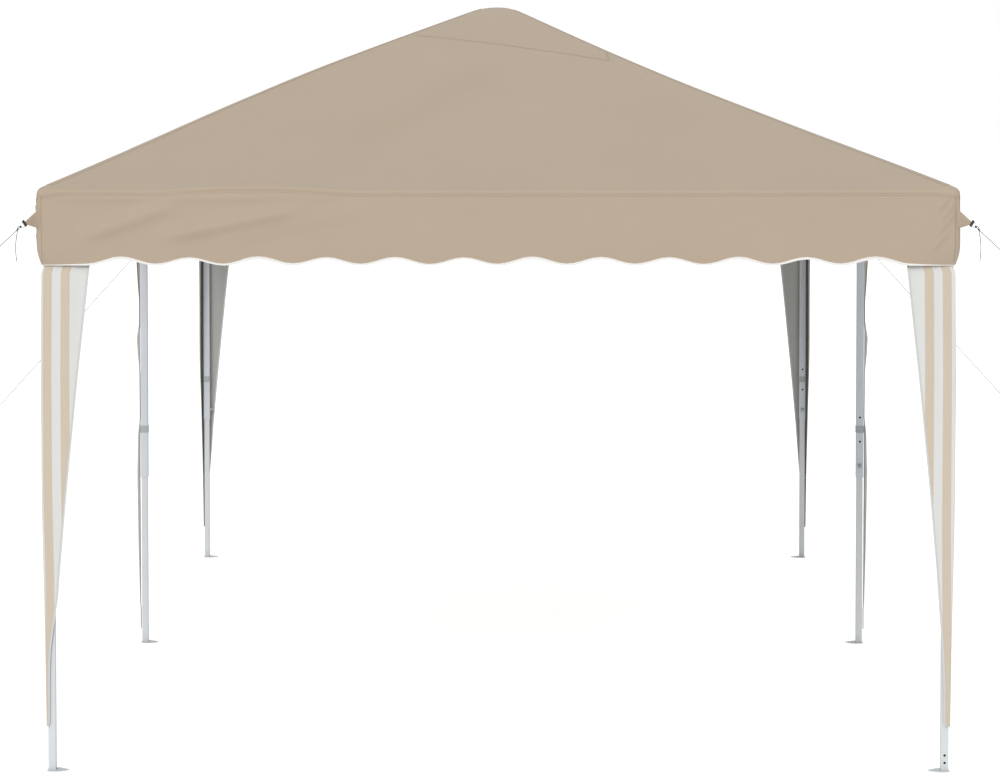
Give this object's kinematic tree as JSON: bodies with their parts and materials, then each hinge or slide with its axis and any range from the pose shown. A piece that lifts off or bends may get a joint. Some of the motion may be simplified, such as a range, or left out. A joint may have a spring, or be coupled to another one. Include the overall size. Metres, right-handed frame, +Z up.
{
  "type": "pop-up party tent",
  "caption": "Long pop-up party tent with a hip roof, scalloped valance, telescopic steel legs, scissor trusses, striped leg curtains and pegged guy ropes.",
  "frame": {"origin": "on the ground, at the centre of the tent in plan", "axes": "+Z up, +Y along the tent away from its front end, +X to the right as seen from the front"},
  "size_m": [6.5304, 9.5304, 2.55],
  "materials": {
    "canopy_cloth": "woven polyester, matt",
    "curtain_cloth": "woven polyester, striped, matt",
    "grey_steel": "powder coated, satin",
    "light_grey_steel": "powder coated, satin",
    "black_plastic": "moulded, fine grain",
    "guy_rope": "braided cord",
    "zinc_steel": "zinc plated"
  },
  "bodies": {
    "canopy_and_frame": {"canopy": "canopy_cloth", "curtain_front_left": "curtain_cloth", "curtain_front_right": "curtain_cloth", "curtain_middle_left": "curtain_cloth", "curtain_middle_right": "curtain_cloth", "curtain_rear_left": "curtain_cloth", "curtain_rear_right": "curtain_cloth", "guy_rope_front_left": "guy_rope", "guy_rope_front_right": "guy_rope", "guy_rope_rear_left": "guy_rope", "guy_rope_rear_right": "guy_rope", "peak_arms_front": "grey_steel", "peak_arms_rear": "grey_steel", "peak_pole_front": "grey_steel", "peak_pole_rear": "grey_steel", "peg_front_left": "zinc_steel", "peg_front_right": "zinc_steel", "peg_rear_left": "zinc_steel", "peg_rear_right": "zinc_steel", "slider_bracket_front_left": "black_plastic", "slider_bracket_front_right": "black_plastic", "slider_bracket_middle_left": "black_plastic", "slider_bracket_middle_right": "black_plastic", "slider_bracket_rear_left": "black_plastic", "slider_bracket_rear_right": "black_plastic", "top_bracket_front_left": "black_plastic", "top_bracket_front_right": "black_plastic", "top_bracket_middle_left": "black_plastic", "top_bracket_middle_right": "black_plastic", "top_bracket_rear_left": "black_plastic", "top_bracket_rear_right": "black_plastic", "truss_front": "grey_steel", "truss_left_front": "grey_steel", "truss_left_rear": "grey_steel", "truss_middle": "grey_steel", "truss_rear": "grey_steel", "truss_right_front": "grey_steel", "truss_right_rear": "grey_steel", "upper_leg_front_left": "grey_steel", "upper_leg_front_right": "grey_steel", "upper_leg_middle_left": "grey_steel", "upper_leg_middle_right": "grey_steel", "upper_leg_rear_left": "grey_steel", "upper_leg_rear_right": "grey_steel"},
    "leg_front_left": {"lower_leg_front_left": "light_grey_steel"},
    "leg_front_right": {"lower_leg_front_right": "light_grey_steel"},
    "leg_middle_left": {"lower_leg_middle_left": "light_grey_steel"},
    "leg_middle_right": {"lower_leg_middle_right": "light_grey_steel"},
    "leg_rear_left": {"lower_leg_rear_left": "light_grey_steel"},
    "leg_rear_right": {"lower_leg_rear_right": "light_grey_steel"}
  },
  "joints": [
    {"name": "slide_front_left", "type": "slide", "parent": "canopy_and_frame", "child": "leg_front_left", "axis": [0, 0, 1], "range_m": [0, 0.65], "deforming": ["curtain_front_left"]},
    {"name": "slide_front_right", "type": "slide", "parent": "canopy_and_frame", "child": "leg_front_right", "axis": [0, 0, 1], "range_m": [0, 0.65], "deforming": ["curtain_front_right"]},
    {"name": "slide_middle_left", "type": "slide", "parent": "canopy_and_frame", "child": "leg_middle_left", "axis": [0, 0, 1], "range_m": [0, 0.65], "deforming": ["curtain_middle_left"]},
    {"name": "slide_middle_right", "type": "slide", "parent": "canopy_and_frame", "child": "leg_middle_right", "axis": [0, 0, 1], "range_m": [0, 0.65], "deforming": ["curtain_middle_right"]},
    {"name": "slide_rear_left", "type": "slide", "parent": "canopy_and_frame", "child": "leg_rear_left", "axis": [0, 0, 1], "range_m": [0, 0.65], "deforming": ["curtain_rear_left"]},
    {"name": "slide_rear_right", "type": "slide", "parent": "canopy_and_frame", "child": "leg_rear_right", "axis": [0, 0, 1], "range_m": [0, 0.65], "deforming": ["curtain_rear_right"]}
  ]
}
